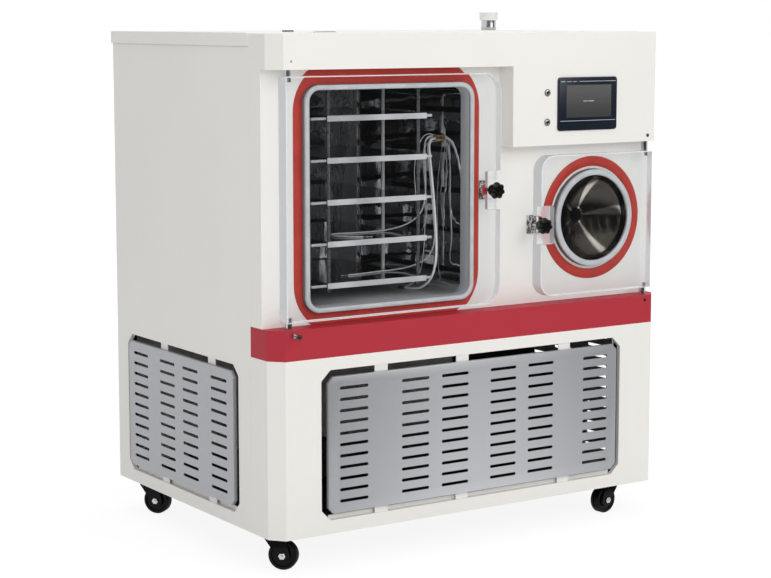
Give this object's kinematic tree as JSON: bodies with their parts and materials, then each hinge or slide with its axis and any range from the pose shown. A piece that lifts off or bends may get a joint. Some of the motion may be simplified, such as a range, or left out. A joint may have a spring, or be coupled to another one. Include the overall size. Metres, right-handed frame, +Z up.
{
  "type": "freeze dryer",
  "caption": "Pilot freeze dryer on casters: shelf chamber and condenser pot behind clear swing-bolt doors, touch panel, red band and slotted grilles.",
  "frame": {"origin": "centre of the overall footprint, at the floor the casters stand on", "axes": "+Z up; -Y out of the front, where the doors are; +X to the right as seen from the front"},
  "size_m": [1.326, 0.968, 1.478],
  "materials": {
    "cream_paint": "semi-gloss powder coat",
    "red_paint": "semi-gloss powder coat",
    "grey_paint": "satin metallic coat",
    "dark_frame": "satin black coat",
    "polished_steel": "mirror polished",
    "stainless": "fine brushed",
    "shelf_alloy": "satin",
    "fin_alloy": "plain",
    "red_trim": "matte silicone",
    "grey_seal": "matte silicone",
    "clear_acrylic": "clear, polished",
    "black_plastic": "glossy moulded",
    "screen_plastic": "gloss bezel over a lit panel",
    "white_plastic": "matte moulded",
    "tyre_black": "worn smooth",
    "cable_sheath": "braided and sheathed",
    "gland_brass": "plated"
  },
  "bodies": {
    "cabinet": {"chassis": "dark_frame", "compressor": "dark_frame", "deck": "grey_paint", "front_tray": "grey_paint", "left_tray": "grey_paint", "right_tray": "grey_paint", "head_cover": "cream_paint", "recess_panel": "cream_paint", "lower_front_panel": "cream_paint", "left_side_panel": "cream_paint", "right_side_panel": "cream_paint", "back_panel": "cream_paint", "lid": "cream_paint", "red_band": "red_paint", "chamber_shell": "polished_steel", "condenser_pot": "polished_steel", "chamber_seal": "grey_seal", "condenser_seal": "grey_seal", "chamber_trim": "red_trim", "condenser_trim": "red_trim", "shelf_1": "shelf_alloy", "shelf_2": "shelf_alloy", "shelf_3": "shelf_alloy", "shelf_4": "shelf_alloy", "shelf_5": "shelf_alloy", "shelf_rod_front_left": "stainless", "shelf_rod_front_right": "stainless", "shelf_rod_back_left": "stainless", "shelf_rod_back_right": "stainless", "probe_gland": "gland_brass", "upper_probe_lead": "cable_sheath", "lower_probe_lead": "cable_sheath", "braided_probe_lead": "cable_sheath", "main_pin_top": "stainless", "main_pin_bottom": "stainless", "condenser_pin_top": "stainless", "condenser_pin_bottom": "stainless", "main_latch_bracket": "stainless", "condenser_latch_bracket": "stainless", "vent_tube": "stainless", "lock_peg": "stainless", "touch_screen": "screen_plastic", "vent_cap": "white_plastic", "cooling_coil": "fin_alloy"},
    "main_door": {"main_door": "clear_acrylic"},
    "condenser_door": {"condenser_door": "clear_acrylic"},
    "main_swing_bolt": {"main_swing_bolt": "stainless"},
    "condenser_swing_bolt": {"condenser_swing_bolt": "stainless"},
    "main_star_knob": {"main_star_knob": "black_plastic"},
    "condenser_star_knob": {"condenser_star_knob": "black_plastic"},
    "start_button": {"start_button": "stainless"},
    "stop_button": {"stop_button": "stainless"},
    "caster_fork_front_left": {"caster_fork_front_left": "dark_frame"},
    "caster_fork_front_right": {"caster_fork_front_right": "dark_frame"},
    "caster_fork_back_left": {"caster_fork_back_left": "dark_frame"},
    "caster_fork_back_right": {"caster_fork_back_right": "dark_frame"},
    "caster_wheel_front_left": {"caster_wheel_front_left": "tyre_black"},
    "caster_wheel_front_right": {"caster_wheel_front_right": "tyre_black"},
    "caster_wheel_back_left": {"caster_wheel_back_left": "tyre_black"},
    "caster_wheel_back_right": {"caster_wheel_back_right": "tyre_black"}
  },
  "joints": [
    {"name": "main_door_hinge", "type": "hinge", "parent": "cabinet", "child": "main_door", "pos_m": [-0.599, -0.421, 0.9915], "axis": [0, 0, -1], "range_deg": [0, 120]},
    {"name": "condenser_door_hinge", "type": "hinge", "parent": "cabinet", "child": "condenser_door", "pos_m": [0.605, -0.421, 0.877], "axis": [0, 0, 1], "range_deg": [0, 120]},
    {"name": "main_bolt_swing", "type": "hinge", "parent": "cabinet", "child": "main_swing_bolt", "pos_m": [0.05, -0.393, 0.988], "axis": [0, 0, 1], "range_deg": [0, 65]},
    {"name": "condenser_bolt_swing", "type": "hinge", "parent": "cabinet", "child": "condenser_swing_bolt", "pos_m": [0.218, -0.393, 0.88], "axis": [0, 0, -1], "range_deg": [0, 65]},
    {"name": "main_knob_turn", "type": "hinge", "parent": "main_swing_bolt", "child": "main_star_knob", "pos_m": [0.05, -0.452, 0.988], "axis": [0, 1, 0], "continuous": true},
    {"name": "condenser_knob_turn", "type": "hinge", "parent": "condenser_swing_bolt", "child": "condenser_star_knob", "pos_m": [0.218, -0.452, 0.88], "axis": [0, 1, 0], "continuous": true},
    {"name": "start_button_press", "type": "slide", "parent": "cabinet", "child": "start_button", "axis": [0, 1, 0], "range_m": [0, 0.0025], "stiffness_N_per_m": 400},
    {"name": "stop_button_press", "type": "slide", "parent": "cabinet", "child": "stop_button", "axis": [0, 1, 0], "range_m": [0, 0.0025], "stiffness_N_per_m": 400},
    {"name": "caster_swivel_front_left", "type": "hinge", "parent": "cabinet", "child": "caster_fork_front_left", "pos_m": [-0.601, -0.353, 0.09], "axis": [0, 0, 1], "continuous": true},
    {"name": "caster_wheel_roll_front_left", "type": "hinge", "parent": "caster_fork_front_left", "child": "caster_wheel_front_left", "pos_m": [-0.58661, -0.36689, 0.04], "axis": [0.6947, 0.7193, 0], "continuous": true},
    {"name": "caster_swivel_front_right", "type": "hinge", "parent": "cabinet", "child": "caster_fork_front_right", "pos_m": [0.535, -0.362, 0.09], "axis": [0, 0, 1], "continuous": true},
    {"name": "caster_wheel_roll_front_right", "type": "hinge", "parent": "caster_fork_front_right", "child": "caster_wheel_front_right", "pos_m": [0.51519, -0.36478, 0.04], "axis": [-0.1392, 0.9903, 0], "continuous": true},
    {"name": "caster_swivel_back_left", "type": "hinge", "parent": "cabinet", "child": "caster_fork_back_left", "pos_m": [-0.606, 0.373, 0.09], "axis": [0, 0, 1], "continuous": true},
    {"name": "caster_wheel_roll_back_left", "type": "hinge", "parent": "caster_fork_back_left", "child": "caster_wheel_back_left", "pos_m": [-0.59341, 0.35746, 0.04], "axis": [0.7771, 0.6293, 0], "continuous": true},
    {"name": "caster_swivel_back_right", "type": "hinge", "parent": "cabinet", "child": "caster_fork_back_right", "pos_m": [0.535, 0.373, 0.09], "axis": [0, 0, 1], "continuous": true},
    {"name": "caster_wheel_roll_back_right", "type": "hinge", "parent": "caster_fork_back_right", "child": "caster_wheel_back_right", "pos_m": [0.51519, 0.37022, 0.04], "axis": [-0.1392, 0.9903, 0], "continuous": true}
  ]
}
